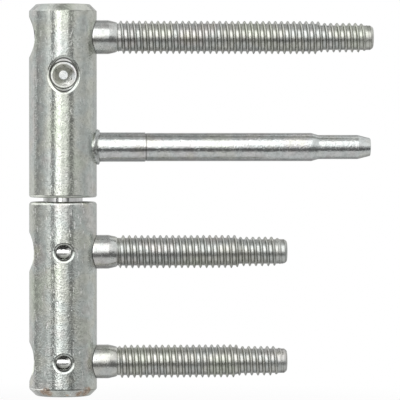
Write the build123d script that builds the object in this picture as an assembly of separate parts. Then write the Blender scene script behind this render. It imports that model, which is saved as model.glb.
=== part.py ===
"""Screw-in barrel hinge for a timber door: two 20 mm barrels that turn on a hidden spindle.

The leaf half sits on top and carries a long threaded pin and a plain support pin. The frame half sits
below and carries two threaded pins. Every threaded pin turns in its own cross bore, held between a
shoulder and a rolled mouth, and is driven by a hex key from the far side of the barrel.

Millimetres. +Z runs up the hinge axis, +X along the pins, -Y is the front. The origin is on the axis,
in the middle of the gap between the barrels.
"""

import os
from math import radians, tan

from build123d import *

# Barrels
barrel_d = 20.0
leaf_length = 57.0
frame_length = 57.35
barrel_gap = 1.3
end_chamfer = 2.0
leaf_end_round = 0.3
frame_end_round = 1.0
leaf_mouth_round = 0.7
frame_mouth_round = 0.9

# Pin heights: the inner two from the middle of the gap, the outer two from their barrel's end
inner_pin_height = 15.5
leaf_pin_from_end = 9.65
frame_pin_from_end = 10.0

# Threaded pins, with lengths out from the barrel's side. The threads are plain cylinders here.
shank_d = 10.0
turning_clearance = 0.05
shank_out = 3.3
taper_length = 2.3
taper_step = 0.6
neck_length = 0.8
thread_step = 0.15
thread_depth = 0.85
tip_thread_step = 0.525
point_length = 1.7
point_step = 1.375
leaf_thread_out = 66.0
leaf_pin_out = 82.1
frame_thread_out = 41.7
frame_pin_out = 56.4

# Heads of the threaded pins, and the barrel's mouths rolled over them
head_length = 2.4
head_play = 0.1
head_chamfer = 0.5
lip_cover = 0.45
leaf_head_step = 0.8
leaf_lip_depth = 2.3
leaf_mouth_angle = 18.0
frame_head_step = 0.4
frame_lip_depth = 2.0
frame_mouth_angle = 25.0
pin_exit_chamfer = 0.35
key_width = 5.0
key_depth = 5.5

# Support pin, welded on by its end, with the flash that the weld leaves
support_d = 8.36
root_step = 0.165
root_out = 14.5
support_shoulder_out = 63.8
support_taper = 2.0
support_tip_step = 0.6
support_point_length = 3.7
support_point_step = 0.95
support_out = 81.3
flash_step = 0.775
flash_width = 1.3
flash_inner_step = 0.5

# Spindle, pressed into the frame barrel, and the bush that turns on it
spindle_d = 9.0
spindle_lead = 1.0
spindle_rim = 1.3
press_lead = 0.4
foot_gap = 0.3
vent_depth = 1.0
bush_wall = 1.25
bush_depth = 12.0
thrust_play = 0.05
spindle_clearance = 0.2
spindle_top_gap = 0.4

# Lock screw, whose dog point stands in the spindle's groove and stops the leaf from lifting off
lock_below_pin = 11.3
lock_d = 7.8
lock_recess = 1.4
lock_edge = 0.12
lock_point_edge = 0.5
lock_dog_d = 5.0
lock_bore_gap = 0.3
lock_key_depth = 2.2
lock_key_cone = 0.8
lock_key_floor_d = 2.6
lock_key_mouth_d = 6.5
lock_sink_d = 10.6
lock_sink_angle = 50.0
lock_sink_round = 0.3
groove_depth = 1.2
groove_side_gap = 0.4
groove_floor_gap = 0.3

# Front holes of the frame barrel, tapped for a clamping screw on each of its pins. Each is wider at
# its inner end, so that the thread stops short of the pin's bore.
clamp_tap_d = 4.2
clamp_mouth_round = 0.9
clamp_relief_d = 5.2
clamp_relief_wall = 0.1

past = 2.0  # how far a cutter stands outside the barrel
barrel_r = barrel_d / 2
leaf_bottom = barrel_gap / 2
leaf_top = leaf_bottom + leaf_length
frame_top = -barrel_gap / 2
frame_bottom = frame_top - frame_length
leaf_pin_height = leaf_top - leaf_pin_from_end
frame_pin_heights = (-inner_pin_height, frame_bottom + frame_pin_from_end)

shank_r = shank_d / 2
bore_r = shank_r + turning_clearance
thread_r = shank_r - thread_step
leaf_head_r = shank_r + leaf_head_step
frame_head_r = shank_r + frame_head_step

spindle_r = spindle_d / 2
spindle_bore_r = spindle_r + spindle_clearance
bush_r = spindle_r + turning_clearance + bush_wall
lock_height = leaf_pin_height - lock_below_pin
lock_r = lock_d / 2
lock_face = barrel_r - lock_recess
groove_r = spindle_r - groove_depth
groove_half = lock_dog_d / 2 + groove_side_gap
spindle_top = lock_height + groove_half + spindle_rim
spindle_bore_top = spindle_top + spindle_top_gap
spindle_foot = frame_head_r + foot_gap - inner_pin_height

TO_UP = Rot(0, -90, 0)
TO_FRONT = Rot(0, 0, -90)


def turned(outline):
    """Solid turned about X from points (x, radius). The first and last are on the axis, or on a bore."""
    return revolve(make_face(Polyline(*outline, close=True)), Axis.X)


def plug(start, end, radius):
    """Plain cylinder along X."""
    return turned([(start, 0), (start, radius), (end, radius), (end, 0)])


def key_socket(mouth, depth, mouth_r):
    """Cutter for a hex socket that opens towards -X, with a short cone that leads the key in."""
    hexagon = RegularPolygon(radius=key_width / 2, side_count=6, major_radius=False)
    flats = Pos(mouth, 0, 0) * Rot(0, 90, 0) * extrude(hexagon, depth)
    cone = turned(
        [
            (mouth - past, 0),
            (mouth - past, mouth_r + past),
            (mouth + mouth_r - key_width / 2, key_width / 2),
            (mouth + mouth_r - key_width / 2, 0),
        ]
    )
    return flats + cone


def ring_at(part, height, radius):
    """The circular edge of a barrel at a height, with about the radius given."""
    rings = part.edges().filter_by(GeomType.CIRCLE).filter_by_position(Axis.Z, height - 0.01, height + 0.01)
    return rings.sort_by(lambda ring: abs(ring.radius - radius))[0]


def blank(bottom, top, plain_end, plain_round, chamfered_end, end_round):
    """Barrel blank: one end rounded, the other chamfered with both edges of the chamfer softened."""
    body = Pos(0, 0, (bottom + top) / 2) * Cylinder(barrel_r, top - bottom)
    body = fillet(ring_at(body, plain_end, barrel_r), plain_round)
    body = chamfer(ring_at(body, chamfered_end, barrel_r), end_chamfer)
    inward = 1 if chamfered_end < plain_end else -1
    body = fillet(ring_at(body, chamfered_end + inward * end_chamfer, barrel_r), end_round)
    return fillet(ring_at(body, chamfered_end, barrel_r - end_chamfer), end_round)


def pin_bore(lip_depth, mouth_angle, head_r):
    """Cutter for a threaded pin's cross bore: rolled mouth at -X, head seat, running bore, exit at +X."""
    flare = tan(radians(mouth_angle))
    lip_r = head_r - lip_cover
    lip_x = lip_depth - barrel_r
    seat_x = lip_x + head_play + head_length
    return turned(
        [
            (-barrel_r - past, 0),
            (-barrel_r - past, lip_r + flare * (lip_depth + past)),
            (lip_x, lip_r),
            (lip_x, head_r + turning_clearance),
            (seat_x, head_r + turning_clearance),
            (seat_x, bore_r),
            (barrel_r - pin_exit_chamfer, bore_r),
            (barrel_r + past, bore_r + pin_exit_chamfer + past),
            (barrel_r + past, 0),
        ]
    )


def front_mouth(part, height, radius):
    """The outer edge of a hole in a barrel's front, with about the radius given."""
    reach = radius + 0.1
    edges = part.edges().filter_by_position(Axis.Z, height - reach, height + reach)
    edges = edges.filter_by_position(Axis.X, -reach, reach).filter_by_position(Axis.Y, -barrel_r, 0)
    return edges.sort_by(lambda edge: edge.bounding_box().min.Y)[0]


def make_leaf_barrel():
    body = blank(leaf_bottom, leaf_top, leaf_bottom, leaf_mouth_round, leaf_top, leaf_end_round)
    body -= TO_UP * plug(leaf_bottom - past, leaf_bottom + bush_depth, bush_r)
    body -= TO_UP * plug(leaf_bottom, spindle_bore_top, spindle_bore_r)
    body -= Pos(0, 0, leaf_pin_height) * pin_bore(leaf_lip_depth, leaf_mouth_angle, leaf_head_r)
    hole_r = lock_r + turning_clearance
    sink_r = lock_sink_d / 2
    flare = tan(radians(lock_sink_angle))
    lock_hole = TO_FRONT * turned(
        [
            (0, 0),
            (0, hole_r),
            (barrel_r - (sink_r - hole_r) / flare, hole_r),
            (barrel_r + past, sink_r + flare * past),
            (barrel_r + past, 0),
        ]
    )
    body -= Pos(0, 0, lock_height) * lock_hole
    return fillet(front_mouth(body, lock_height, sink_r), lock_sink_round)


def make_frame_barrel():
    body = blank(frame_bottom, frame_top, frame_top, frame_mouth_round, frame_bottom, frame_end_round)
    # The spindle's seat breaks into the upper cross bore, so that pressing it in traps no air.
    body -= TO_UP * plug(spindle_foot - vent_depth, frame_top + past, spindle_r)
    relief = TO_FRONT * plug(0, bore_r + clamp_relief_wall, clamp_relief_d / 2)
    clamp_hole = TO_FRONT * plug(0, barrel_r + past, clamp_tap_d / 2) + relief
    for height in frame_pin_heights:
        body -= Pos(0, 0, height) * pin_bore(frame_lip_depth, frame_mouth_angle, frame_head_r)
        body -= Pos(0, 0, height) * clamp_hole
        body = fillet(front_mouth(body, height, clamp_tap_d / 2), clamp_mouth_round)
    return body


def threaded_pin(lip_depth, head_r, thread_out, pin_out):
    """Threaded pin: head with its socket, shank, taper, neck, thread, thinner tip thread and point."""
    face = lip_depth + head_play - barrel_r
    taper = barrel_r + shank_out
    neck = taper + taper_length
    thread = neck + neck_length
    tip_thread = barrel_r + thread_out
    end = barrel_r + pin_out
    tip_r = thread_r - tip_thread_step
    body = turned(
        [
            (face, 0),
            (face, head_r - head_chamfer),
            (face + head_chamfer, head_r),
            (face + head_length, head_r),
            (face + head_length, shank_r),
            (taper, shank_r),
            (neck, shank_r - taper_step),
            (neck, thread_r - thread_depth),
            (thread, thread_r - thread_depth),
            (thread, thread_r),
            (tip_thread, thread_r),
            (tip_thread, tip_r),
            (end - point_length, tip_r),
            (end, tip_r - point_step),
            (end, 0),
        ]
    )
    return body - key_socket(face, key_depth, key_width / 3**0.5)


def make_support_pin():
    """Support pin: its root and the weld flash lie on the barrel's side, so the barrel's form is cut out."""
    support_r = support_d / 2
    root_r = support_r + root_step
    flash_r = root_r + flash_step
    tip_r = support_r - support_tip_step
    shoulder = barrel_r + support_shoulder_out
    end = barrel_r + support_out
    body = turned(
        [
            (0, 0),
            (0, flash_r - flash_inner_step),
            (barrel_r - flash_width, flash_r),
            (barrel_r, flash_r),
            (barrel_r + flash_width, root_r),
            (barrel_r + root_out, root_r),
            (barrel_r + root_out, support_r),
            (shoulder, support_r),
            (shoulder + support_taper, tip_r),
            (end - support_point_length, tip_r),
            (end, tip_r - support_point_step),
            (end, 0),
        ]
    )
    return body - Cylinder(barrel_r, 2 * barrel_d)


def make_spindle():
    return TO_UP * turned(
        [
            (spindle_foot, 0),
            (spindle_foot, spindle_r - press_lead),
            (spindle_foot + press_lead, spindle_r),
            (lock_height - groove_half, spindle_r),
            (lock_height - groove_half, groove_r),
            (lock_height + groove_half, groove_r),
            (lock_height + groove_half, spindle_r),
            (spindle_top - spindle_lead, spindle_r),
            (spindle_top, spindle_r - spindle_lead),
            (spindle_top, 0),
        ]
    )


def make_bearing_bush():
    """Bush pressed into the leaf barrel. Its proud lower end carries the leaf on the frame barrel."""
    low = frame_top + thrust_play
    high = leaf_bottom + bush_depth
    inner = spindle_r + turning_clearance
    return TO_UP * turned(
        [(low, inner), (low, bush_r), (high - press_lead, bush_r), (high, bush_r - press_lead), (high, inner)]
    )


def make_lock_screw():
    """Grub screw with its hex socket in front and its dog point in the spindle's groove."""
    tip = groove_r + groove_floor_gap
    shoulder = spindle_bore_r + lock_bore_gap
    socket_end = lock_face - lock_key_depth
    body = TO_FRONT * turned(
        [
            (tip, 0),
            (tip, lock_dog_d / 2),
            (shoulder, lock_dog_d / 2),
            (shoulder, lock_r - lock_point_edge),
            (shoulder + lock_point_edge, lock_r),
            (lock_face - lock_edge, lock_r),
            (lock_face, lock_r - lock_edge),
            (lock_face, 0),
        ]
    )
    socket_floor = socket_end - lock_key_cone
    drill_point = TO_FRONT * turned(
        [
            (socket_end, 0),
            (socket_end, key_width / 2),
            (socket_floor, lock_key_floor_d / 2),
            (socket_floor, 0),
        ]
    )
    socket = Rot(0, 0, 90) * key_socket(-lock_face, lock_key_depth, lock_key_mouth_d / 2)
    return body - socket - drill_point


leaf_pin = threaded_pin(leaf_lip_depth, leaf_head_r, leaf_thread_out, leaf_pin_out)
frame_pin = threaded_pin(frame_lip_depth, frame_head_r, frame_thread_out, frame_pin_out)

nodes = {
    "leaf_barrel": make_leaf_barrel(),
    "bearing_bush": make_bearing_bush(),
    "leaf_pin": Pos(0, 0, leaf_pin_height) * leaf_pin,
    "support_pin": Pos(0, 0, inner_pin_height) * make_support_pin(),
    "lock_screw": Pos(0, 0, lock_height) * make_lock_screw(),
    "frame_barrel": make_frame_barrel(),
    "spindle": make_spindle(),
    "frame_pin_upper": Pos(0, 0, frame_pin_heights[0]) * frame_pin,
    "frame_pin_lower": Pos(0, 0, frame_pin_heights[1]) * frame_pin,
}

os.makedirs("parts", exist_ok=True)
for name, solid in nodes.items():
    export_step(solid, f"parts/{name}.step")
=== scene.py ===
"""Looks of a screw-in barrel hinge with threaded pins, laid out as a Blender add-on.

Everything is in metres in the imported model's frame: +Z runs up the hinge axis, +X along the pins,
and -Y is the front. Sizes written in millimetres are turned into metres by MM.
"""

import math

import bmesh
import bpy
from mathutils import Matrix, Vector, noise


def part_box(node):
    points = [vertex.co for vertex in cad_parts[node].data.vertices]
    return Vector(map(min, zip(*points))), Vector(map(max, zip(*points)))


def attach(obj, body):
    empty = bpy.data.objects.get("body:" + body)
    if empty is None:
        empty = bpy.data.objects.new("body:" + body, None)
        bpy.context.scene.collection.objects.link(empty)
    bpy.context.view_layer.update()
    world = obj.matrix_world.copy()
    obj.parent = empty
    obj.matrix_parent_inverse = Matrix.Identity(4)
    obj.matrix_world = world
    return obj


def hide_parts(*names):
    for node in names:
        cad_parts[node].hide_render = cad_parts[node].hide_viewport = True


bl_info = {
    "name": "Screw-in barrel hinge",
    "version": (1, 0, 0),
    "blender": (4, 5, 0),
    "location": "View3D > Sidebar > Hinge",
    "description": "Threaded pins, support pin, barrels and stage for a screw-in barrel hinge",
    "category": "Add Mesh",
}

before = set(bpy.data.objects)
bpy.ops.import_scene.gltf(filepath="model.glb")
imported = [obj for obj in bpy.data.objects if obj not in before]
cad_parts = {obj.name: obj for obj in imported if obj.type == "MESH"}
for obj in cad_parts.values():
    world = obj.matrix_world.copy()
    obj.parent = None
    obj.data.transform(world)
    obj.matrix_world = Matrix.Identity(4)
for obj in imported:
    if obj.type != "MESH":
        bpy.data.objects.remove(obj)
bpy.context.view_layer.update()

MM = 0.001
WELD = 2e-7  # vertices of a turned surface nearer than this are one, in metres
NEAR = 1e-6  # the same for the thread, and how near a plane or a radius counts as on it, in metres
CUT = 1e-7  # the same for a cutting plane, in metres
DOME_R = 6.0  # radius of the reflector dome, in metres
WHITE = (1, 1, 1, 1)

# Threaded pins: name, radius of the head, where the thinner tip thread begins and how far the thread
# is moved back along the pin, in millimetres.
PINS = (
    ("leaf_pin", 5.8, 76.0, -0.13),
    ("frame_pin_upper", 5.4, 51.7, 0.98),
    ("frame_pin_lower", 5.4, 51.7, 0.38),
)

# The parts that all threaded pins share: places along the pin from the hinge axis, radii and lengths in
# millimetres.
HEAD_LENGTH = 2.4
HEAD_EDGE = 0.5
SOCKET_DEPTH = 5.5
SOCKET_MOUTH_R = 3.25
SHANK_R = 5.0
TAPER_AT = 13.4
NECK_AT = 16.0
NECK_R = 4.03
THREAD_AT = 16.15
CREST_R = 4.92
TIP_CREST_R = 4.395
TIP_ROOT_STEP = 0.47  # how much lower the root is on the tip thread
FADE_LENGTH = 2.4  # the thread's last turns fade out over this length
FADE_END = 1.6  # and are gone this far from the tip
POINT_LENGTH = 1.7
POINT_R = 3.02
TIP_EDGE = 0.16  # length and depth of the small chamfer at the tip
TIP_EDGE_STEP = 0.2

# Half the length of a pin's part inside its barrel, which gets a painted highlight, in millimetres.
HIGHLIGHT_HALF_LENGTH = 8.8

# Barrels, in millimetres: y of a place in front of them, of the countersinks' floor and of a place deep
# in the front holes, and the height of the chamfers.
OUTSIDE = -11
SINK_FLOOR = -7.5
HOLE_DEEP = -5
CHAMFER = 2.0

# Profile of the rolled thread along one pitch: share of the pitch and share of the depth.
THREAD_FORM = (
    (0.0, 0.0),
    (0.32, 0.0),
    (0.37, 0.08),
    (0.42, 0.32),
    (0.48, 0.63),
    (0.54, 0.87),
    (0.6, 0.98),
    (0.64, 1.0),
    (0.68, 0.98),
    (0.74, 0.87),
    (0.8, 0.63),
    (0.86, 0.32),
    (0.91, 0.08),
    (0.96, 0.0),
    (1.0, 0.0),
)

# Colours of the plating's flaws and of painted light: pits, scratches, a painted highlight round the lock
# screw's countersink, painted shade on thread flanks, a painted highlight on the part of a pin inside its
# barrel, painted shade on the barrels, and dust with painted shade in the lock screw's socket.
PIT_TONE = (0.2, 0.2, 0.18, 1)
SCRATCH_TONE = (0.86, 0.86, 0.84, 1)
HIGHLIGHT_TONE = (0.98, 0.98, 0.96, 1)
FLANK_SHADE_TONE = (0.14, 0.14, 0.11, 1)
SHANK_HIGHLIGHT_TONE = (0.96, 0.96, 0.94, 1)
SHADE_TONE = (0.09, 0.09, 0.08, 1)
DUST_AND_SHADE_TONE = (0.34, 0.34, 0.27, 1)

# Faint tints of the plating as stops of a ramp, and the gain that brings their mean back to white.
TINTS = (
    (0.3, (0.66, 0.72, 0.62)),
    (0.45, (0.7, 0.7, 0.68)),
    (0.55, (0.62, 0.68, 0.72)),
    (0.66, (0.72, 0.68, 0.72)),
    (0.75, (0.74, 0.71, 0.6)),
)
TINT_GAIN = (1.42, 1.42, 1.42, 1)

# Painted shade on the thread: share of its height and share of the flank's shade colour.
THREAD_SHADE = ((0.0, 0.0), (0.08, 0.3), (0.5, 0.44), (0.85, 0.22), (1.0, 0.1))

# Height of the plating's relief for a value of 1, in metres.
RELIEF = 0.00008

# Copper-brown patches of the frame barrel: place and reach in millimetres.
TARNISH_SPOTS = (
    ((-4.9, -8.0, -56.6), 2.1),
    ((-6.3, -7.2, -56.9), 1.5),
    ((6.6, -6.6, -56.5), 2.3),
    ((4.6, -7.9, -57.1), 1.6),
    ((1.0, -8.9, -57.7), 0.9),
)

# Brightness of the reflector dome round the level, by degrees to the right of the camera.
LEVEL_TONES = (
    (-181, 0.62),
    (-163, 0.64),
    (-147, 0.65),
    (-137, 0.76),
    (-121, 0.77),
    (-113, 0.66),
    (-102, 0.82),
    (-99.8, 0.82),
    (-99.2, 0.1),
    (-96, 0.3),
    (-92, 0.37),
    (-85, 0.44),
    (-66, 0.55),
    (-55, 0.76),
    (-47, 1.15),
    (-40.2, 1.3),
    (-38, 0.12),
    (-33.6, 0.12),
    (-31, 0.4),
    (-24, 0.36),
    (-21.5, 1.95),
    (-3.6, 1.85),
    (-1.6, 0.5),
    (2.8, 0.5),
    (4.6, 1.35),
    (8, 1.25),
    (12, 1.12),
    (16, 0.82),
    (19, 0.62),
    (24, 0.44),
    (30, 0.2),
    (35.5, 0.1),
    (38.5, 0.5),
    (41, 0.7),
    (62, 0.58),
    (88, 0.53),
    (97, 0.68),
    (112, 0.64),
    (128, 0.7),
    (147, 0.56),
    (181, 0.56),
)

# Soft lamps: name, azimuth and elevation in degrees, width and height in metres and power in watts.
LAMPS = (
    ("front_softbox", 0, 28, (2.3, 1.9), 9.0),
    ("back_softbox", 165, 35, (1.6, 1.2), 2.5),
)
LAMP_TARGET = (0.03, 0, 0)
LAMP_DISTANCE = 2.2


class PinSizes(bpy.types.PropertyGroup):
    """Sizes of the threaded pins and the support pin, in millimetres unless a unit says otherwise."""

    pitch: bpy.props.FloatProperty(
        name="Thread pitch", description="Rise of the rolled thread in one turn, mm", default=1.836, min=0.5
    )
    depth: bpy.props.FloatProperty(
        name="Thread depth", description="Height of the thread over its root, mm", default=0.82, min=0.1
    )
    turn_steps: bpy.props.IntProperty(
        name="Steps in a turn", description="Faces round one turn of the thread", default=56, min=12
    )
    round_steps: bpy.props.IntProperty(
        name="Steps round a pin", description="Faces round the smooth parts of a pin", default=96, min=24
    )
    key_width: bpy.props.FloatProperty(
        name="Hex key", description="Width across flats of the pins' sockets, mm", default=5.0, min=1.0
    )
    flash_lumps: bpy.props.FloatProperty(
        name="Weld flash lumps", description="How uneven the weld's flash is, mm", default=0.28, min=0.0
    )


class ZincLooks(bpy.types.PropertyGroup):
    """Colours of the zinc plating."""

    barrel_tone: bpy.props.FloatVectorProperty(
        name="Barrel plating", description="Colour of the plating on the barrels", subtype="COLOR",
        default=(0.63, 0.645, 0.6), min=0, max=1,
    )
    pin_tone: bpy.props.FloatVectorProperty(
        name="Pin plating", description="Colour of the plating on the threaded pins", subtype="COLOR",
        default=(0.62, 0.62, 0.59), min=0, max=1,
    )
    support_tone: bpy.props.FloatVectorProperty(
        name="Support pin plating", description="Colour of the plating on the support pin", subtype="COLOR",
        default=(0.64, 0.65, 0.63), min=0, max=1,
    )
    screw_tone: bpy.props.FloatVectorProperty(
        name="Lock screw plating", description="Colour of the plating on the lock screw", subtype="COLOR",
        default=(0.7, 0.7, 0.68), min=0, max=1,
    )
    bare_tone: bpy.props.FloatVectorProperty(
        name="Bare steel", description="Colour of the spindle and the bush", subtype="COLOR",
        default=(0.72, 0.72, 0.71), min=0, max=1,
    )
    tarnish_tone: bpy.props.FloatVectorProperty(
        name="Tarnish", description="Copper-brown tint on the lower chamfer", subtype="COLOR",
        default=(0.5, 0.27, 0.12), min=0, max=1,
    )


class StageSettings(bpy.types.PropertyGroup):
    """Camera and floor."""

    azimuth: bpy.props.FloatProperty(
        name="Camera azimuth", description="Turn of the camera round the hinge", subtype="ANGLE",
        default=math.radians(-3.8),
    )
    elevation: bpy.props.FloatProperty(
        name="Camera elevation", description="Height of the camera over the hinge", subtype="ANGLE",
        default=math.radians(1.0),
    )
    distance: bpy.props.FloatProperty(
        name="Camera distance", description="Distance to the point aimed at", subtype="DISTANCE", default=1.0
    )
    lens: bpy.props.FloatProperty(
        name="Lens", description="Focal length for a 36 mm sensor", unit="CAMERA", default=303.4
    )
    aim: bpy.props.FloatVectorProperty(
        name="Aim", description="Point in the middle of the picture", subtype="TRANSLATION",
        default=(0.04062, 0.0, -0.0002),
    )
    floor_level: bpy.props.FloatProperty(
        name="Floor level", description="Height of the floor", subtype="DISTANCE", default=-0.075
    )


def chain(bm, points):
    """Edges through points given as (x, radius) in millimetres, above the X axis."""
    verts = [bm.verts.new((x * MM, 0.0, r * MM)) for x, r in points]
    edges = [bm.edges.new(pair) for pair in zip(verts, verts[1:])]
    return verts + edges


def turned(bm, points, steps):
    """Surface turned about the X axis from a chain of points."""
    bmesh.ops.spin(
        bm,
        geom=chain(bm, points),
        cent=(0, 0, 0),
        axis=(1, 0, 0),
        dvec=(0, 0, 0),
        angle=2 * math.pi,
        steps=steps,
        use_merge=True,
        use_duplicate=False,
    )
    bmesh.ops.remove_doubles(bm, verts=bm.verts, dist=WELD)


def held(value):
    """Value held between 0 and 1."""
    return min(max(value, 0), 1)


def radius_of(vert):
    """Distance of a vertex from the X axis, in metres."""
    return math.hypot(vert.co.y, vert.co.z)


def widen(vert, factor):
    """Multiplies the distance of a vertex from the X axis."""
    vert.co.y *= factor
    vert.co.z *= factor


def rim(bm, x):
    """Open edges of the mesh that lie in the plane at x millimetres."""
    in_plane = {vert for vert in bm.verts if abs(vert.co.x - x * MM) < NEAR}
    return [edge for edge in bm.edges if edge.is_boundary and in_plane.issuperset(edge.verts)]


def sharpen(bm, degrees):
    """Smooth faces, with a crease where the surface turns by more than an angle."""
    for face in bm.faces:
        face.smooth = True
    for edge in bm.edges:
        edge.smooth = len(edge.link_faces) == 2 and edge.calc_face_angle(0) < math.radians(degrees)


def linked(bm, name, material, place=None):
    """Object in the scene from a bmesh, with its place in its mesh and one material."""
    mesh = bpy.data.meshes.new(name)
    bm.to_mesh(mesh)
    bm.free()
    if place is not None:
        mesh.transform(place)
    mesh.materials.append(material)
    piece = bpy.data.objects.new(name, mesh)
    bpy.context.scene.collection.objects.link(piece)
    return piece


def finished(bm, name, height, material, crease=33):
    """Piece of the hinge at a height in metres, with outward normals and creased edges."""
    bmesh.ops.recalc_face_normals(bm, faces=bm.faces)
    sharpen(bm, crease)
    return linked(bm, name, material, Matrix.Translation((0, 0, height)))


def helix(bm, first, last, ahead, pitch, steps):
    """Right-hand thread surface between two planes, with radii of 1 mm at its root and 2 mm at its crest.

    One turn is spun from the profile and doubled until it is long enough, and the planes cut it.
    """
    low = first - 1.2 * pitch - ahead
    bmesh.ops.spin(
        bm,
        geom=chain(bm, [(low + share * pitch, 1 + height) for share, height in THREAD_FORM]),
        cent=(0, 0, 0),
        axis=(1, 0, 0),
        dvec=(pitch * MM / steps, 0, 0),
        angle=2 * math.pi,
        steps=steps,
        use_merge=False,
        use_duplicate=False,
    )
    reach = pitch
    while low + reach < last + pitch:
        copied = bmesh.ops.duplicate(bm, geom=bm.verts[:] + bm.edges[:] + bm.faces[:])
        moved = [part for part in copied["geom"] if isinstance(part, bmesh.types.BMVert)]
        bmesh.ops.translate(bm, verts=moved, vec=(reach * MM, 0, 0))
        reach *= 2
    bmesh.ops.remove_doubles(bm, verts=bm.verts, dist=NEAR)
    for x, before, after in ((first, True, False), (last, False, True)):
        bmesh.ops.bisect_plane(
            bm,
            geom=bm.verts[:] + bm.edges[:] + bm.faces[:],
            dist=CUT,
            plane_co=(x * MM, 0, 0),
            plane_no=(1, 0, 0),
            clear_inner=before,
            clear_outer=after,
        )


def reshape(bm, form):
    """Moves every vertex of a helix to the radius, in millimetres, that form gives for its x and height.

    The height of the thread is kept as the attribute "crest", and "rolled" is 1 all over it.
    """
    crest = bm.verts.layers.float.new("crest")
    rolled = bm.verts.layers.float.new("rolled")
    for vert in bm.verts:
        r = radius_of(vert)
        height = held(r / MM - 1)
        vert[crest] = height
        vert[rolled] = 1
        widen(vert, form(vert.co.x / MM, height) * MM / r)


def joined(bm, other):
    """Adds another bmesh to bm."""
    mesh = bpy.data.meshes.new("joined")
    other.to_mesh(mesh)
    other.free()
    bm.from_mesh(mesh)
    bpy.data.meshes.remove(mesh)


def hexagon_r(vert, width):
    """Distance from the axis to a hexagon's side in a vertex's direction, in metres."""
    turn = math.atan2(vert.co.y, vert.co.z)
    sixth = math.pi / 3
    return width / 2 * MM / math.cos((turn + sixth / 2) % sixth - sixth / 2)


def node(tree, kind, inputs=None, **settings):
    """New node with its settings, and its inputs set to values or linked to sockets."""
    made = tree.nodes.new(kind)
    for key, value in settings.items():
        setattr(made, key, value)
    for key, value in (inputs or {}).items():
        if isinstance(value, bpy.types.NodeSocket):
            tree.links.new(value, made.inputs[key])
        else:
            made.inputs[key].default_value = value
    return made


def node_material(name):
    """New material and its empty node tree."""
    material = bpy.data.materials.new(name)
    material.use_nodes = True
    material.node_tree.nodes.clear()
    return material, material.node_tree


def ramp(tree, factor, stops):
    """Colour ramp with stops of (position, grey or colour)."""
    made = node(tree, "ShaderNodeValToRGB", {"Fac": factor})
    elements = made.color_ramp.elements
    while len(elements) < len(stops):
        elements.new(0.5)
    for element, (position, value) in zip(elements, stops):
        element.position = position
        element.color = (*value, 1) if isinstance(value, tuple) else (value, value, value, 1)
    return made.outputs["Color"]


def mixed(tree, factor, a, b, blend="MIX"):
    """Colour mix of two sockets or colours."""
    made = node(tree, "ShaderNodeMix", {0: factor, 6: a, 7: b}, data_type="RGBA", blend_type=blend)
    return made.outputs[2]


def maths(tree, operation, a, b=0.0, clamp=False):
    """Result of a maths node."""
    return node(tree, "ShaderNodeMath", {0: a, 1: b}, operation=operation, use_clamp=clamp).outputs[0]


def added(tree, total, value, share, clamp=False):
    """Total with a share of a value added to it."""
    return maths(tree, "ADD", total, maths(tree, "MULTIPLY", value, share), clamp)


def vectors(tree, operation, a, b=(0, 0, 0)):
    """Vector and number that a vector maths node gives, of which the operation sets one."""
    return node(tree, "ShaderNodeVectorMath", {0: a, 1: b}, operation=operation).outputs


def axes(tree, place):
    """The x, y and z of a place."""
    return node(tree, "ShaderNodeSeparateXYZ", {0: place}).outputs


def attribute(tree, name, output="Fac"):
    """Value of an attribute of the mesh, as a number or a colour."""
    return node(tree, "ShaderNodeAttribute", attribute_name=name).outputs[output]


def remapped(tree, value, low, high, start=0.0, end=1.0, curve="LINEAR"):
    """Value carried from one range to another and held at its ends."""
    inputs = {"Value": value, "From Min": low, "From Max": high, "To Min": start, "To Max": end}
    return node(tree, "ShaderNodeMapRange", inputs, interpolation_type=curve).outputs[0]


def noise_at(tree, place, scale, detail, rough=0.5, stretch=None, turn=(0, 0, 0)):
    """Noise value at the surface, stretched along an axis where stretch is given."""
    if stretch is not None:
        inputs = {"Vector": place, "Scale": stretch, "Rotation": turn}
        place = node(tree, "ShaderNodeMapping", inputs).outputs[0]
    inputs = {"Vector": place, "Scale": scale, "Detail": detail, "Roughness": rough}
    return node(tree, "ShaderNodeTexNoise", inputs).outputs["Fac"]


def near_spot(tree, place, spot, reach):
    """Mask that falls from 1 at a spot to 0 at the reach, both in millimetres."""
    away = vectors(tree, "DISTANCE", place, tuple(c * MM for c in spot))[1]
    return remapped(tree, away, 0.0, reach * MM, 1.0, 0.0)


def from_line(tree, place, axis, height, stretch=1.0):
    """Distance from a line along axis 0, 1 or 2 that crosses the hinge axis at a height in millimetres.

    Across the hinge axis it counts by the stretch, so that an oval can be drawn with it.
    """
    across = [stretch, stretch, 1.0]
    across[axis] = 0.0
    moved = vectors(tree, "ADD", place, (0, 0, -height * MM))[0]
    return vectors(tree, "LENGTH", vectors(tree, "MULTIPLY", moved, tuple(across))[0])[1]


def span(tree, value, low, high, soft=0.12):
    """Mask that is 1 where a value lies between two limits in millimetres and fades beyond them."""
    rising = remapped(tree, value, (low - soft) * MM, low * MM)
    falling = remapped(tree, value, high * MM, (high + soft) * MM, 1.0, 0.0)
    return maths(tree, "MULTIPLY", rising, falling)


def overlap(tree, first, *others):
    """Mask where all the given masks meet."""
    for mask in others:
        first = maths(tree, "MULTIPLY", first, mask)
    return first


def either(tree, first, *others):
    """Mask where any of the given masks is set."""
    for mask in others:
        first = maths(tree, "MAXIMUM", first, mask)
    return first


def height_of(name):
    """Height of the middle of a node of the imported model, in millimetres."""
    low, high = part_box(name)
    return (low.z + high.z) / 2 / MM


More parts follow.
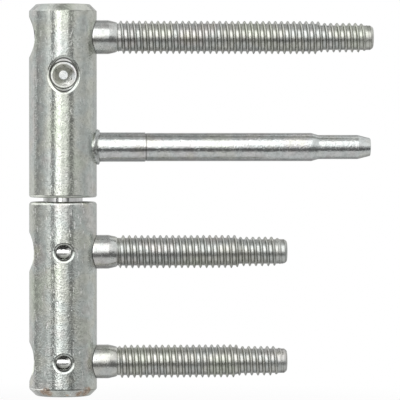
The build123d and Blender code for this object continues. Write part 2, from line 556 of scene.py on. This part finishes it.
def socket_dust_and_shade(tree, place):
    """Dust with painted shade in the lock screw's socket, thicker in spots, none on the floor and none on the
    lower right, where the light falls.
    """
    height = height_of("lock_screw")
    x, _, z = axes(tree, place)
    ring = span(tree, from_line(tree, place, 1, height), 1.45, 3.15)
    spots = ramp(tree, noise_at(tree, place, 1800, 3, 0.6), [(0.35, 0.55), (0.6, 1.0)])
    slant = maths(tree, "SUBTRACT", x, maths(tree, "SUBTRACT", z, height * MM))
    return overlap(tree, ring, spots, span(tree, slant, -9, 1.6, 1.0))


def pin_gap_shade(tree, place, x, height):
    """Painted shade in the gap where a pin leaves its barrel."""
    return overlap(tree, span(tree, from_line(tree, place, 0, height), 4.8, 5.4, 0.3), span(tree, x, 5, 11))


def leaf_painted_shade(tree, place):
    """Painted shade on the leaf barrel: dark lines round the lock screw, at its countersink's edge, at the
    pin and at the upper chamfer's edge.
    """
    x, y, z = axes(tree, place)
    level = height_of("lock_screw")
    from_lock = from_line(tree, place, 1, level)
    from_axis = from_line(tree, place, 2, 0)
    beside = overlap(tree, span(tree, from_lock, 3.8, 4.3), span(tree, z, level - 2.6, level + 3.2, 0.6))
    gap = either(tree, span(tree, from_lock, 3.7, 4.1), beside)
    outline = overlap(tree, span(tree, from_axis, 9.55, 9.82, 0.06), span(tree, from_lock, 4, 5.8))
    hole = overlap(tree, span(tree, y, OUTSIDE, SINK_FLOOR), either(tree, gap, outline))
    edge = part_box("leaf_barrel")[1].z / MM - CHAMFER
    line = overlap(tree, span(tree, z, edge - 0.12, edge + 0.02, 0.08), faint(tree, place))
    return either(tree, hole, pin_gap_shade(tree, place, x, height_of("leaf_pin")), line)


def end_faces(tree, place, name):
    """Mask of the two flat end faces of a barrel."""
    low, high = (corner.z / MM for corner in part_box(name))
    z = axes(tree, place)[2]
    upper = span(tree, z, high - 0.02, high + 1, 0.02)
    return either(tree, upper, span(tree, z, low - 1, low + 0.02, 0.02))


def turning_marks(tree, place):
    """Height of the fine rings that a lathe leaves on a face square to the hinge axis."""
    out = node(tree, "ShaderNodeCombineXYZ", {0: from_line(tree, place, 2, 0)}).outputs[0]
    return noise_at(tree, out, 3200, 2, 0.6)


def faint(tree, place):
    """Mask of a line that comes and goes along its length."""
    return ramp(tree, noise_at(tree, place, 260, 2, 0.5), [(0.4, 0.15), (0.6, 0.7)])


def leaf_painted_highlight(tree, place):
    """Painted highlight at the top and bottom of the lock screw's countersink, in a pale colour."""
    height = height_of("lock_screw")
    _, y, z = axes(tree, place)
    ring = overlap(
        tree, span(tree, from_line(tree, place, 1, height), 4.2, 5.6), span(tree, y, OUTSIDE, SINK_FLOOR)
    )
    above = span(tree, z, height + 3.9, height + 6.5, 0.5)
    below = overlap(tree, span(tree, z, height - 6.5, height - 4.0, 0.4), faint(tree, place))
    inside = span(tree, from_line(tree, place, 2, 0), 8, 9.5)
    return overlap(tree, ring, either(tree, above, below), inside)


def leaf_edges(tree, place):
    """Height that falls off round the lock screw's countersink, as at a rounded edge."""
    away = from_line(tree, place, 1, height_of("lock_screw"), 1.17)
    slope = remapped(tree, away, 5.25 * MM, 5.7 * MM, 0.0, 2.0, "SMOOTHSTEP")
    return overlap(tree, slope, span(tree, axes(tree, place)[1], OUTSIDE, HOLE_DEEP, 1.0))


def screw_edges(tree, place):
    """Height that flattens the mouth of the lock screw's socket, as a worn one is."""
    away = from_line(tree, place, 1, height_of("lock_screw"))
    return remapped(tree, away, 2.55 * MM, 3.3 * MM, 3.4, 0.0)


def frame_painted_shade(tree, place):
    """Painted shade on the frame barrel: a dark line on its top face, its dark holes, the gaps at its pins
    and a line at its lower chamfer's edge.
    """
    x, y, z = axes(tree, place)
    low, high = (corner.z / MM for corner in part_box("frame_barrel"))
    top = span(tree, z, high - 0.06, high + 1, 0.08)
    masks = [overlap(tree, top, span(tree, from_line(tree, place, 2, 0), 0, 8.4))]
    for name in ("frame_pin_upper", "frame_pin_lower"):
        height = height_of(name)
        masks.append(pin_gap_shade(tree, place, x, height))
        from_hole = from_line(tree, place, 1, height)
        inside = span(tree, y, OUTSIDE, HOLE_DEEP)
        masks.append(overlap(tree, span(tree, from_hole, 0, 2.1), inside))
        masks.append(overlap(tree, span(tree, from_hole, 0, 2.5), inside, 0.5))
    edge = low + CHAMFER
    masks.append(overlap(tree, span(tree, z, edge - 0.05, edge + 0.12, 0.08), faint(tree, place)))
    return either(tree, *masks)


def tarnished(tree, place, colour, tone):
    """Copper-brown patches where the plating is thin on the lower chamfer."""
    patch = 0.0
    for spot, reach in TARNISH_SPOTS:
        patch = either(tree, near_spot(tree, place, spot, reach), patch)
    rough_edge = maths(tree, "ADD", patch, noise_at(tree, place, 1300, 4, 0.65))
    mask = ramp(tree, rough_edge, [(0.0, 0.0), (0.6, 0.0), (1.05, 0.66)])
    pale = tuple(0.5 * c + 0.5 for c in tone)
    burnt = tuple(0.35 * c for c in tone)
    brown = ramp(tree, noise_at(tree, place, 1900, 3, 0.7), [(0.38, pale), (0.5, tuple(tone)), (0.62, burnt)])
    return mixed(tree, mask, colour, brown)


def zinc(
    name, tone, seed, gloss, pits=0.5, grain=0.5, scratches=0.4, tint=0.5, streak=(1, 1, 0.08),
    threaded=False, tarnish=None, painted_highlight=None, shade_and_dust=None, shade_and_dust_tone=SHADE_TONE, dull=False, ends=None,
    edges=None,
):
    """Zinc plating: mottled greys with faint tints, small pits, fine grain, drawn streaks and scratches.

    The seed moves the pattern, gloss is the least and the most roughness, and the streaks run along the
    axis where streak is small. Tarnish is a colour. The function for a painted highlight and the one for
    painted shade and dust give a mask at a place, and edges gives a height. Where dull is set, the shade
    and dust aren't metallic, and ends names the barrel whose end faces show turning marks. Threaded is
    for pins with the attributes "crest" and "rolled"; it paints shade on the thread's flanks and a
    highlight on the part of the pin inside its barrel.
    """
    material, tree = node_material(name)
    spot = node(tree, "ShaderNodeTexCoord").outputs["Object"]
    moved = {"Vector": spot, "Location": (seed, seed * 0.37, seed * 0.71)}
    place = node(tree, "ShaderNodeMapping", moved).outputs[0]

    cloud = noise_at(tree, place, 170, 4, 0.55)
    blotch = noise_at(tree, place, 620, 4, 0.6)
    fine = noise_at(tree, place, 1700, 3, 0.6)
    drawn = noise_at(tree, place, 1500, 3, 0.6, stretch=streak)
    pitted = ramp(tree, noise_at(tree, place, 1750, 2, 0.5), [(0.33, 1.0), (0.4, 0.0)])
    pitted = overlap(tree, pitted, ramp(tree, blotch, [(0.42, 0.15), (0.62, 1.0)]))
    scratched = 0.0
    for angle, scale in ((0.6, 1500), (-0.75, 1250)):
        lines = noise_at(tree, place, scale, 1, 0.4, stretch=(1, 1, 0.22), turn=(0, angle, 0.3))
        scratched = either(tree, ramp(tree, lines, [(0.69, 0.0), (0.73, 1.0)]), scratched)

    dark = tuple(c * 0.8 for c in tone)
    light = tuple(min(c * 1.12, 1) for c in tone)
    colour = ramp(tree, blotch, [(0.3, dark), (0.5, tuple(tone)), (0.72, light)])
    tints = mixed(tree, 1.0, ramp(tree, noise_at(tree, place, 95, 2, 0.5), TINTS), TINT_GAIN, "MULTIPLY")
    colour = mixed(tree, tint, colour, mixed(tree, 1.0, colour, tints, "MULTIPLY"))
    colour = mixed(tree, maths(tree, "MULTIPLY", pitted, pits), colour, PIT_TONE)
    colour = mixed(tree, maths(tree, "MULTIPLY", scratched, scratches), colour, SCRATCH_TONE)
    if tarnish is not None:
        colour = tarnished(tree, spot, colour, tarnish)
    # Painted highlight in a pale colour where its mask is set.
    if painted_highlight is not None:
        colour = mixed(tree, painted_highlight(tree, spot), colour, HIGHLIGHT_TONE)
    metal = 1.0
    # Painted shade, and in the lock screw's socket dust as well, in a darker colour where the mask is set.
    if shade_and_dust is not None:
        darkened = maths(tree, "MULTIPLY", shade_and_dust(tree, spot), 0.88)
        colour = mixed(tree, darkened, colour, shade_and_dust_tone)
        if dull:
            metal = maths(tree, "SUBTRACT", 1.0, darkened)

    rough = remapped(tree, cloud, 0.3, 0.7, *gloss)
    rough = added(tree, rough, pitted, 0.25, clamp=True)
    if threaded:
        # Painted shade on the thread's flanks, set by the thread's height.
        colour = mixed(tree, ramp(tree, attribute(tree, "crest"), THREAD_SHADE), colour, FLANK_SHADE_TONE)
        rough = added(tree, rough, attribute(tree, "rolled"), 0.1, clamp=True)
        # Painted highlight and less roughness on the part of the pin inside its barrel.
        highlighted_shank = span(tree, axes(tree, spot)[0], -HIGHLIGHT_HALF_LENGTH, HIGHLIGHT_HALF_LENGTH)
        rough = maths(tree, "MULTIPLY", rough, remapped(tree, highlighted_shank, 0.0, 1.0, 1.0, 0.3))
        colour = mixed(tree, highlighted_shank, colour, SHANK_HIGHLIGHT_TONE)

    height = maths(tree, "MULTIPLY", fine, grain * 1.25)
    height = added(tree, height, blotch, grain * 0.55)
    height = added(tree, height, drawn, grain * 0.4)
    if ends is not None:
        faced = end_faces(tree, spot, ends)
        rough = added(tree, rough, faced, 0.28, clamp=True)
        height = added(tree, height, faced, turning_marks(tree, spot))
    if edges is not None:
        height = maths(tree, "ADD", height, edges(tree, spot))
    height = added(tree, height, pitted, -0.4 * pits)
    height = added(tree, height, scratched, -0.6 * scratches)
    relief = {"Height": height, "Strength": 1.0, "Distance": RELIEF}
    bump = node(tree, "ShaderNodeBump", relief).outputs["Normal"]

    looks = {"Base Color": colour, "Metallic": metal, "Roughness": rough, "Normal": bump}
    shader = node(tree, "ShaderNodeBsdfPrincipled", looks)
    node(tree, "ShaderNodeOutputMaterial", {"Surface": shader.outputs[0]})
    return material


def dress(name, material):
    """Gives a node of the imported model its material."""
    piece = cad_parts[name]
    if not piece.material_slots:
        piece.data.materials.append(material)
    for slot in piece.material_slots:
        slot.material = material


def pin_ends(name):
    """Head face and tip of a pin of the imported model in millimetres, and its height in metres."""
    low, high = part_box(name)
    return low.x / MM, high.x / MM, (low.z + high.z) / 2


def threaded_pin(name, head_r, tip_at, ahead, sizes, material):
    """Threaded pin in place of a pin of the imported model: head, socket, shank, taper, thread and point."""
    face, end, height = pin_ends(name)
    head_end = face + HEAD_LENGTH
    floor = face + SOCKET_DEPTH
    half = sizes.key_width / 2
    bm = bmesh.new()
    bm.verts.layers.float.new("crest")
    bm.verts.layers.float.new("rolled")
    turned(
        bm,
        [
            (floor + 0.9, 0),
            (floor, half - 0.35),
            (floor, half),
            (face + HEAD_EDGE, half),
            (face, SOCKET_MOUTH_R),
            (face, head_r - HEAD_EDGE),
            (face + 0.12, head_r - 0.28),
            (face + HEAD_EDGE, head_r),
            (head_end - 0.05, head_r),
            (head_end, head_r - 0.05),
            (head_end, SHANK_R),
            (TAPER_AT - 0.1, SHANK_R),
            (TAPER_AT + 0.1, SHANK_R - 0.03),
            (TAPER_AT + 0.9, SHANK_R - 0.2),
            (NECK_AT - 0.6, SHANK_R - 0.45),
            (NECK_AT - 0.05, SHANK_R - 0.68),
            (NECK_AT, SHANK_R - 0.75),
            (THREAD_AT - 0.08, NECK_R + 0.1),
        ],
        sizes.round_steps,
    )
    # The round socket becomes a hexagon, with a mouth that is deeper at its flats.
    for vert in bm.verts:
        r = radius_of(vert)
        if abs(r - half * MM) < NEAR and vert.co.x < (floor + 0.1) * MM:
            side = hexagon_r(vert, sizes.key_width)
            widen(vert, side / r)
            if vert.co.x < (face + 1) * MM:
                vert.co.x = face * MM + (SOCKET_MOUTH_R * MM - side) * 0.8

    def form(x, share):
        """Radius at x, in millimetres, for a share of the thread's height."""
        main = held((tip_at + 0.5 - x) / 0.9)
        crest = TIP_CREST_R + (CREST_R - TIP_CREST_R) * main
        crest = min(crest, NECK_R + max(x - THREAD_AT, 0) * 1.1)
        root = min(CREST_R - sizes.depth - (1 - main) * TIP_ROOT_STEP, crest)
        fading = held((end - FADE_END - x) / FADE_LENGTH)
        cone = POINT_R + (end - x) * (TIP_CREST_R - POINT_R) / POINT_LENGTH
        return min(root + (crest - root) * share * fading, cone)

    coil = bmesh.new()
    helix(coil, THREAD_AT, end - TIP_EDGE, ahead, sizes.pitch, sizes.turn_steps)
    reshape(coil, form)
    joined(bm, coil)
    bmesh.ops.bridge_loops(bm, edges=rim(bm, THREAD_AT - 0.08) + rim(bm, THREAD_AT))
    tip = bmesh.ops.extrude_edge_only(bm, edges=rim(bm, end - TIP_EDGE))
    for vert in (part for part in tip["geom"] if isinstance(part, bmesh.types.BMVert)):
        vert.co.x = end * MM
        widen(vert, 1 - TIP_EDGE_STEP / POINT_R)
    bmesh.ops.holes_fill(bm, edges=rim(bm, end), sides=0)
    piece = finished(bm, f"{name}_rolled", height, material)
    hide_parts(name)
    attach(piece, name)


def support_pin(sizes, material):
    """Support pin with the flash that its weld left on the barrel's side."""
    low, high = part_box("support_pin")
    height = (low.z + high.z) / 2
    end = high.x / MM
    root_r, shank_r = 4.345, 4.18
    tip_r = shank_r - 0.6
    ring, groove, shoulder = 10.0, 24.2, 73.8
    reach = 3.5  # the pin follows the barrel's side this far beyond the ring
    bm = bmesh.new()
    turned(
        bm,
        [
            (ring - 0.1, root_r - 0.5),
            (ring - 0.05, root_r + 0.72),
            (ring + 0.12, root_r + 0.8),
            (ring + 0.25, root_r + 0.82),
            (ring + 0.4, root_r + 0.76),
            (ring + 0.55, root_r + 0.66),
            (ring + 0.68, root_r + 0.5),
            (ring + 0.78, root_r + 0.32),
            (ring + 0.86, root_r + 0.12),
            (ring + 1.0, root_r + 0.02),
            (ring + 1.3, root_r),
            (ring + 2.0, root_r),
            (ring + reach, root_r),
            (groove, root_r),
            (groove + 0.12, root_r - 0.02),
            (groove + 0.22, shank_r - 0.14),
            (groove + 0.4, shank_r - 0.14),
            (groove + 0.5, shank_r),
            (groove + 0.6, shank_r),
            (shoulder - 0.08, shank_r),
            (shoulder + 0.1, shank_r - 0.04),
            (shoulder + 1.9, tip_r + 0.04),
            (shoulder + 2.1, tip_r),
            (end - 3.75, tip_r),
            (end - 3.6, tip_r - 0.03),
            (end - 0.15, tip_r - 0.9),
            (end, tip_r - 1.08),
            (end, 0),
        ],
        sizes.round_steps,
    )
    # The attribute that paints shade on a thread's flanks also paints shade in the groove and at the
    # seams of the flash.
    shade_layer = bm.verts.layers.float.new("crest")
    for vert in bm.verts:
        x, r = vert.co.x / MM, radius_of(vert) / MM
        if groove + 0.05 < x < groove + 0.45:
            vert[shade_layer] = 0.12
        if x > ring + reach + 0.1:
            continue
        if r > root_r + 0.05:
            vert[shade_layer] = 0.0 if x < ring + 0.45 else 0.06
        elif ring + 0.9 < x < ring + 1.1:
            vert[shade_layer] = 0.6
        saddle = math.sqrt(ring**2 - (vert.co.y / MM) ** 2) - ring
        vert.co.x += saddle * held((ring + reach - x) / 2.5) * MM
        if ring < x < ring + 1.7 and r > root_r + 0.01:
            spot = Vector((x * 0.8, vert.co.y / r * 1.4 / MM, vert.co.z / r * 1.4 / MM))
            lump = noise.noise(spot * 1.9) + 0.7 * noise.noise(spot * 5.3) + 0.5 * noise.noise(spot * 11.0)
            share = min((r - root_r) / 0.5, 1)
            widen(vert, 1 + sizes.flash_lumps * share * lump / r)
            vert.co.x += 0.3 * sizes.flash_lumps * lump * share * MM
    bmesh.ops.holes_fill(bm, edges=[edge for edge in bm.edges if edge.is_boundary], sides=0)
    piece = finished(bm, "support_pin_welded", height, material, crease=28)
    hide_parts("support_pin")
    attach(piece, "leaf")


class HINGE_OT_threaded_pins(bpy.types.Operator):
    """Make the three threaded pins with their rolled threads"""

    bl_idname = "hinge.threaded_pins"
    bl_label = "Threaded Pins"

    def execute(self, context):
        sizes = context.scene.hinge_pins
        tone = context.scene.hinge_zinc.pin_tone
        for number, (name, head_r, tip_at, ahead) in enumerate(PINS):
            material = zinc(
                f"{name}_plating", tone, 0.31 + number * 0.23, gloss=(0.18, 0.26), pits=0.3, grain=0.22,
                scratches=0.25, tint=0.4, streak=(1, 0.08, 0.08), threaded=True,
            )
            threaded_pin(name, head_r, tip_at, ahead, sizes, material)
        return {"FINISHED"}


class HINGE_OT_support_pin(bpy.types.Operator):
    """Make the plain support pin and its weld flash"""

    bl_idname = "hinge.support_pin"
    bl_label = "Support Pin"

    def execute(self, context):
        tone = context.scene.hinge_zinc.support_tone
        material = zinc(
            "support_pin_plating", tone, 1.7, gloss=(0.1, 0.17), pits=0.4, grain=0.6, scratches=0.3, tint=0.4,
            streak=(0.08, 1, 1), threaded=True,
        )
        support_pin(context.scene.hinge_pins, material)
        return {"FINISHED"}


class HINGE_OT_barrels(bpy.types.Operator):
    """Plate the two barrels and finish the bush, the spindle and the lock screw"""

    bl_idname = "hinge.barrels"
    bl_label = "Barrels and Inner Parts"

    def execute(self, context):
        zincs = context.scene.hinge_zinc
        dress(
            "leaf_barrel",
            zinc(
                "leaf_barrel_plating", zincs.barrel_tone, 2.1, gloss=(0.07, 0.14), pits=0.5, grain=0.5,
                shade_and_dust=leaf_painted_shade, painted_highlight=leaf_painted_highlight, ends="leaf_barrel", edges=leaf_edges,
            ),
        )
        dress(
            "frame_barrel",
            zinc(
                "frame_barrel_plating", zincs.barrel_tone, 3.3, gloss=(0.08, 0.16), pits=0.6, grain=0.6,
                scratches=0.7, tarnish=zincs.tarnish_tone, shade_and_dust=frame_painted_shade, ends="frame_barrel",
            ),
        )
        dress(
            "lock_screw",
            zinc(
                "lock_screw_plating", zincs.screw_tone, 4.2, gloss=(0.14, 0.24), pits=0.2, grain=0.2,
                shade_and_dust=socket_dust_and_shade, shade_and_dust_tone=DUST_AND_SHADE_TONE, dull=True, edges=screw_edges,
            ),
        )
        dress(
            "bearing_bush",
            zinc("bush_steel", zincs.bare_tone, 5.2, gloss=(0.08, 0.14), pits=0.1, grain=0.1, tint=0.2),
        )
        dress("spindle", zinc("spindle_steel", zincs.bare_tone, 6.2, gloss=(0.12, 0.2), pits=0.1, tint=0.2))
        return {"FINISHED"}


class HINGE_OT_stage(bpy.types.Operator):
    """Make the floor, the reflector dome, the lamps, the world and the camera"""

    bl_idname = "hinge.stage"
    bl_label = "Stage"

    def execute(self, context):
        stage = context.scene.hinge_stage
        make_floor(stage.floor_level)
        make_dome(stage.azimuth)
        make_lamps()
        make_world(context.scene)
        make_camera(context.scene, stage)
        context.scene.view_settings.view_transform = "Standard"
        return {"FINISHED"}


def step(value, edge, width):
    """Rises from 0 to 1 across an edge."""
    return held((value - edge) / width + 0.5)


def between(value, low, high, low_width, high_width=None):
    """Rises from 0 to 1 across a low edge and falls back across a high one."""
    return step(value, low, low_width) * (1 - step(value, high, high_width or low_width))


def blended(a, b, share):
    """Value between a and b."""
    return a + (b - a) * share


def tone_at(azimuth, elevation):
    """Brightness of the reflector dome in a direction in degrees, from the camera's side of the hinge."""
    side, slope = abs(azimuth), abs(elevation)
    back = step(side, 110, 20)
    below = step(-elevation, 1.3, 1)
    # The tones round the level. Below it they are moved at the left rear, and a dark line is added there.
    around = azimuth + 8.5 * step(-azimuth, 98, 8) * below
    for (before, low), (after, high) in zip(LEVEL_TONES, LEVEL_TONES[1:]):
        if before <= around <= after:
            tone = blended(low, high, (around - before) / (after - before))
    tone = blended(tone, 0.0, between(-azimuth, 106, 112, 1.5) * below)
    # Pale wall above the level in front, and the bright window in it, which widens upwards.
    spread = max(elevation - 4, 0) * 0.45
    window = between(azimuth, -23 - spread, 17 + spread, 4)
    tone = blended(tone, 1.0, step(elevation, 7, 3) * (1 - step(side, 66, 14)))
    tone = blended(tone, 1.85, window * step(elevation, 4 + 0.8 * step(azimuth, -2, 4), 3))
    # Dark table in front, then the floor, the ceiling and the middle of both.
    tone = blended(tone, 0.15, step(-elevation, 8, 3) * (1 - step(side, 75, 20)))
    tone = blended(tone, blended(0.7, 0.5, back), step(-elevation, blended(36, 27, back), 5))
    tone = blended(tone, blended(0.52, 0.85, back), step(elevation, blended(57, 26, back), 6))
    tone = blended(tone, 0.43, step(elevation, 79, 8))
    tone = blended(tone, 0.7, step(-elevation, 68, 8))
    # Pale cards: high ones on both sides, and on the left a low one and a pair above and below the level.
    high_card = between(side, 50, 112, 10) * between(elevation, 20, 68, 6)
    tone = blended(tone, 1.5 if azimuth < 0 else 0.95, high_card)
    low_card = between(-azimuth, 70, 118, 10, 8) * between(-elevation, 12, 40, 4, 6)
    tone = blended(tone, 1.1, low_card)
    left_card = between(-azimuth, 66, 145, 8) * between(slope, 9, 30, 4, 6)
    tone = blended(tone, 1.45, left_card)
    # Dim corners straight behind the hinge.
    behind = step(side, 160, 10) * step(slope, 30, 6)
    return blended(tone, 0.38 if elevation > 0 else 0.32, behind)


def make_dome(turn):
    """Reflector dome round the stage, seen only in reflections, with a bright window in front."""
    bm = bmesh.new()
    bmesh.ops.create_uvsphere(bm, u_segments=240, v_segments=120, radius=DOME_R)
    layer = bm.verts.layers.float_color.new("tone")
    for vert in bm.verts:
        azimuth = math.degrees(math.atan2(vert.co.x, -vert.co.y) - turn)
        azimuth = (azimuth + 180) % 360 - 180
        elevation = math.degrees(math.asin(max(min(vert.co.z / DOME_R, 1), -1)))
        value = tone_at(azimuth, elevation)
        vert[layer] = (value, value, value, 1)
    bmesh.ops.reverse_faces(bm, faces=bm.faces)
    material, tree = node_material("reflector_card")
    shader = node(tree, "ShaderNodeEmission", {"Color": attribute(tree, "tone", "Color"), "Strength": 1.0})
    node(tree, "ShaderNodeOutputMaterial", {"Surface": shader.outputs[0]})
    dome = linked(bm, "reflector_dome", material)
    dome.visible_camera = False
    dome.visible_diffuse = False
    dome.visible_shadow = False


def make_floor(level):
    """Wide pale floor that keeps the hinge's shadow and turns white farther away."""
    bm = bmesh.new()
    bmesh.ops.create_circle(bm, cap_ends=True, segments=96, radius=5.0)
    material, tree = node_material("floor_white")
    place = node(tree, "ShaderNodeTexCoord").outputs["Object"]
    tone = ramp(tree, noise_at(tree, place, 3, 3), [(0.3, 0.88), (0.7, 0.92)])
    matt = node(tree, "ShaderNodeBsdfDiffuse", {"Color": tone})
    glow = node(tree, "ShaderNodeEmission", {"Color": WHITE, "Strength": 1.0})
    glowing = remapped(tree, vectors(tree, "LENGTH", place)[1], 0.1, 0.3, 0.7, 1.0)
    seen = overlap(tree, node(tree, "ShaderNodeLightPath").outputs["Is Camera Ray"], glowing)
    shader = node(tree, "ShaderNodeMixShader", {0: seen, 1: matt.outputs[0], 2: glow.outputs[0]})
    node(tree, "ShaderNodeOutputMaterial", {"Surface": shader.outputs[0]})
    floor = linked(bm, "floor", material, Matrix.Translation((0, 0, level)))
    floor.visible_glossy = False


def aimed(holder, target, turn, rise, distance):
    """Puts a lamp or a camera at a distance from its target, turned to it, and into the scene."""
    back = Vector((math.sin(turn) * math.cos(rise), -math.cos(turn) * math.cos(rise), math.sin(rise)))
    holder.location = Vector(target) + back * distance
    holder.rotation_euler = (-back).to_track_quat("-Z", "Y").to_euler()
    bpy.context.scene.collection.objects.link(holder)


def make_lamps():
    """One soft lamp in front and above, and a weaker one from the back."""
    for name, azimuth, elevation, size, power in LAMPS:
        lamp = bpy.data.lights.new(name, "AREA")
        lamp.shape = "RECTANGLE"
        lamp.size, lamp.size_y = size
        lamp.energy = power
        holder = bpy.data.objects.new(name, lamp)
        aimed(holder, LAMP_TARGET, math.radians(azimuth), math.radians(elevation), LAMP_DISTANCE)
        holder.visible_camera = False
        holder.visible_glossy = False


def make_world(scene):
    """White world: plain soft light, and white behind the hinge."""
    world = bpy.data.worlds.new("white_room")
    scene.world = world
    world.use_nodes = True
    tree = world.node_tree
    tree.nodes.clear()
    path = node(tree, "ShaderNodeLightPath").outputs
    shown = either(tree, path["Is Camera Ray"], path["Is Glossy Ray"], path["Is Transmission Ray"])
    soft = node(tree, "ShaderNodeBackground", {"Color": (0.97, 0.98, 1, 1), "Strength": 0.75})
    white = node(tree, "ShaderNodeBackground", {"Color": WHITE, "Strength": 1.0})
    shader = node(tree, "ShaderNodeMixShader", {0: shown, 1: soft.outputs[0], 2: white.outputs[0]})
    node(tree, "ShaderNodeOutputWorld", {"Surface": shader.outputs[0]})


def make_camera(scene, stage):
    """Camera that sees the hinge as the photo does."""
    lens = bpy.data.cameras.new("camera")
    lens.sensor_width = 36.0
    lens.lens = stage.lens
    lens.clip_start = 0.05
    lens.clip_end = 50.0
    camera = bpy.data.objects.new("camera", lens)
    aimed(camera, stage.aim, stage.azimuth, stage.elevation, stage.distance)
    scene.camera = camera


class HINGE_PT_panel(bpy.types.Panel):
    """Sidebar panel that lists the hinge's steps and settings"""

    bl_idname = "HINGE_PT_panel"
    bl_label = "Barrel Hinge"
    bl_space_type = "VIEW_3D"
    bl_region_type = "UI"
    bl_category = "Hinge"

    def draw(self, context):
        column = self.layout.column()
        for operator in STEPS:
            column.operator(operator.bl_idname)
        for group in (context.scene.hinge_pins, context.scene.hinge_zinc, context.scene.hinge_stage):
            box = self.layout.box()
            for name in group.bl_rna.properties.keys():
                if name not in ("rna_type", "name"):
                    box.prop(group, name)


STEPS = (HINGE_OT_threaded_pins, HINGE_OT_support_pin, HINGE_OT_barrels, HINGE_OT_stage)
GROUPS = (PinSizes, ZincLooks, StageSettings)


def register():
    for kind in (*GROUPS, *STEPS, HINGE_PT_panel):
        bpy.utils.register_class(kind)
    bpy.types.Scene.hinge_pins = bpy.props.PointerProperty(type=PinSizes)
    bpy.types.Scene.hinge_zinc = bpy.props.PointerProperty(type=ZincLooks)
    bpy.types.Scene.hinge_stage = bpy.props.PointerProperty(type=StageSettings)


def unregister():
    del bpy.types.Scene.hinge_stage
    del bpy.types.Scene.hinge_zinc
    del bpy.types.Scene.hinge_pins
    for kind in reversed((*GROUPS, *STEPS, HINGE_PT_panel)):
        bpy.utils.unregister_class(kind)


def main():
    """Registers the add-on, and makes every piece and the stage."""
    register()
    bpy.ops.hinge.threaded_pins()
    bpy.ops.hinge.support_pin()
    bpy.ops.hinge.barrels()
    bpy.ops.hinge.stage()
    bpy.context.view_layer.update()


if __name__ == "__main__":
    main()
